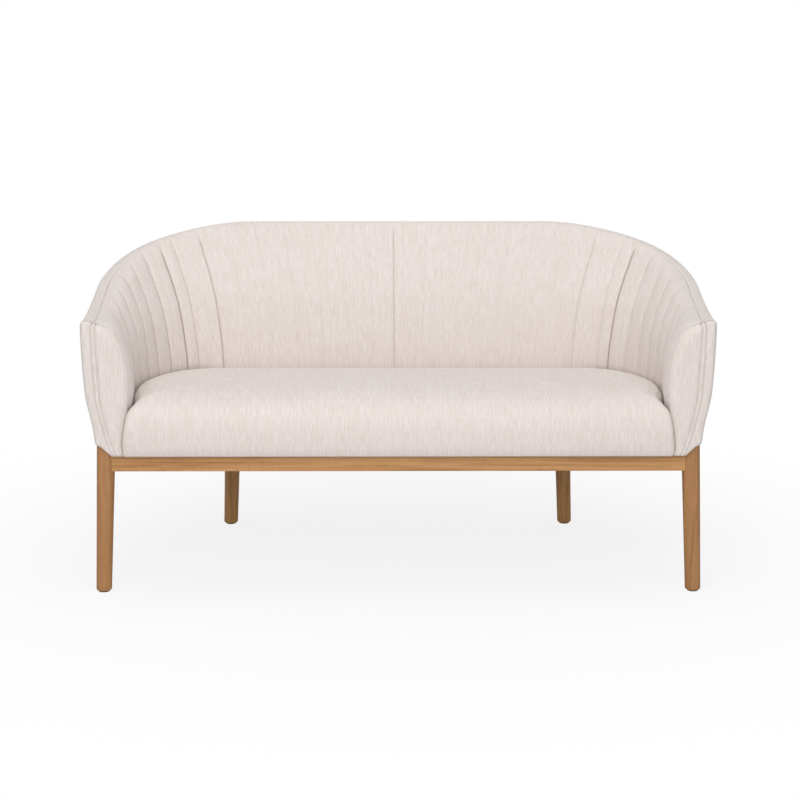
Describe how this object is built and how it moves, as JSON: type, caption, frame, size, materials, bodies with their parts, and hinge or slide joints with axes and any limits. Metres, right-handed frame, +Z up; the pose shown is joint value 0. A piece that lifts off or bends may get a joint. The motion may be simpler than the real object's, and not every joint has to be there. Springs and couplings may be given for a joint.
{
  "type": "barrel settee",
  "caption": "Settee with a round channelled back that sweeps down into its arms, a tight crowned seat and tapered round wooden legs under a slim wooden rail.",
  "frame": {"origin": "on the floor under the middle of the settee", "axes": "+Z up, +X along the width to the right as seen from the front, +Y towards the back"},
  "size_m": [1.36, 0.6403, 0.7357],
  "materials": {
    "oak": "oiled solid timber, satin",
    "frame_timber": "bare sawn timber",
    "plywood": "bare plywood",
    "fibreboard": "bare fibreboard",
    "steel": "zinc-plated",
    "nylon": "moulded, matt",
    "upholstery": "woven slub cloth, matt",
    "foam": "open-cell foam",
    "lining_cloth": "plain lining cloth"
  },
  "bodies": {
    "root": {"front_rail": "oak", "rear_rail": "oak", "right_side_rail": "oak", "left_side_rail": "oak", "right_front_leg": "oak", "left_front_leg": "oak", "right_rear_leg": "oak", "left_rear_leg": "oak", "centre_cross_rail": "frame_timber", "front_corner_blocks": "frame_timber", "rear_corner_blocks": "frame_timber", "rail_dowels": "frame_timber", "seat_front_rail": "frame_timber", "seat_rear_rail": "frame_timber", "right_seat_side_rail": "frame_timber", "left_seat_side_rail": "frame_timber", "right_seat_corner_rail": "frame_timber", "left_seat_corner_rail": "frame_timber", "top_rail": "frame_timber", "back_posts": "frame_timber", "arm_posts": "frame_timber", "right_arm_front_post": "frame_timber", "left_arm_front_post": "frame_timber", "base_ring": "plywood", "outer_back_board": "fibreboard", "leg_bolts": "steel", "leg_bolt_washers": "steel", "leg_bolt_nuts": "steel", "body_screws": "steel", "glide_nails": "steel", "sinuous_springs": "steel", "spring_clips": "steel", "spring_tie_wires": "steel", "right_front_glide": "nylon", "left_front_glide": "nylon", "right_rear_glide": "nylon", "left_rear_glide": "nylon", "seat_cover": "upholstery", "back_inner_cover": "upholstery", "right_arm_inner_cover": "upholstery", "left_arm_inner_cover": "upholstery", "outer_back_cover": "upholstery", "rim_band": "upholstery", "right_arm_facing": "upholstery", "left_arm_facing": "upholstery", "seat_foam": "foam", "back_foam": "foam", "right_arm_foam": "foam", "left_arm_foam": "foam", "outer_padding": "foam", "rim_padding": "foam", "back_hessian": "lining_cloth", "dust_cover": "lining_cloth", "seat_insulator_pad": "lining_cloth"}
  },
  "joints": []
}
